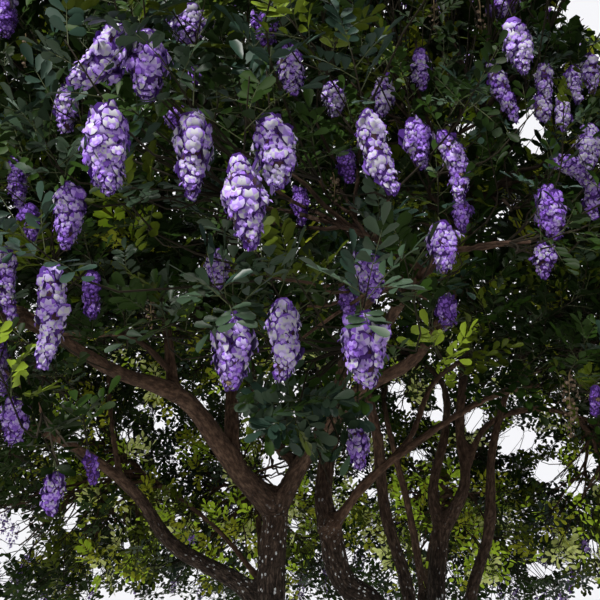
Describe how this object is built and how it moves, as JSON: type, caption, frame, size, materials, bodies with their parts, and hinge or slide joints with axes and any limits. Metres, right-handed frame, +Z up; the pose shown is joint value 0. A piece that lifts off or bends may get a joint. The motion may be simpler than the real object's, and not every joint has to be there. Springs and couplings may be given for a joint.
{
  "type": "texas mountain laurel tree",
  "caption": "Evergreen flowering tree in bloom: a clump of stems from one flared foot, forking boughs and a broad domed crown with hanging violet flower clusters.",
  "frame": {"origin": "middle of the flat cut under the trunk foot, at ground level", "axes": "+Z up along the tree, -Y towards the viewer of the picture, +X to the viewer's right"},
  "size_m": [4.163, 4.0828, 4.15],
  "materials": {
    "bark": "rough, finely fissured dark grey-brown bark",
    "upper_bark": "smoother reddish-brown bark of the upper limbs and twigs",
    "foliage": "leathery dark green leaflets with a soft sheen",
    "blossom": "soft violet and pale lilac petals"
  },
  "bodies": {
    "root": {"trunk_foot": "bark", "stem_left": "bark", "stem_middle": "bark", "stem_right": "bark", "stem_back_left": "bark", "stem_back_right": "bark", "stem_inner": "bark", "stem_slim": "upper_bark", "stem_right_inner": "bark", "stem_far_right": "upper_bark", "bough_left_front": "upper_bark", "bough_left_rise": "upper_bark", "bough_left_centre": "upper_bark", "bough_right_front": "upper_bark", "bough_front": "upper_bark", "bough_left_back": "upper_bark", "bough_left_low": "upper_bark", "bough_left_upright": "upper_bark", "bough_centre": "upper_bark", "bough_right_low": "upper_bark", "bough_right_fore": "upper_bark", "bough_right_inner": "upper_bark", "bough_right_back": "upper_bark", "bough_right_top": "upper_bark", "bough_right_side": "upper_bark", "bough_back_left_low": "upper_bark", "bough_back_left_side": "upper_bark", "bough_back_right_low": "upper_bark", "bough_back_right_up": "upper_bark", "foliage_skirt_front": "foliage", "foliage_skirt_front_right": "foliage", "foliage_skirt_right": "foliage", "foliage_skirt_right_back": "foliage", "foliage_skirt_back_right": "foliage", "foliage_skirt_back_left": "foliage", "foliage_skirt_left_back": "foliage", "foliage_skirt_left": "foliage", "foliage_skirt_front_left": "foliage", "foliage_middle_front": "foliage", "foliage_middle_right": "foliage", "foliage_middle_right_back": "foliage", "foliage_middle_back": "foliage", "foliage_middle_back_left": "foliage", "foliage_middle_left": "foliage", "foliage_middle_front_left": "foliage", "foliage_top_front_right": "foliage", "foliage_top_back_right": "foliage", "foliage_top_back_left": "foliage", "foliage_top_front_left": "foliage"}
  },
  "joints": []
}
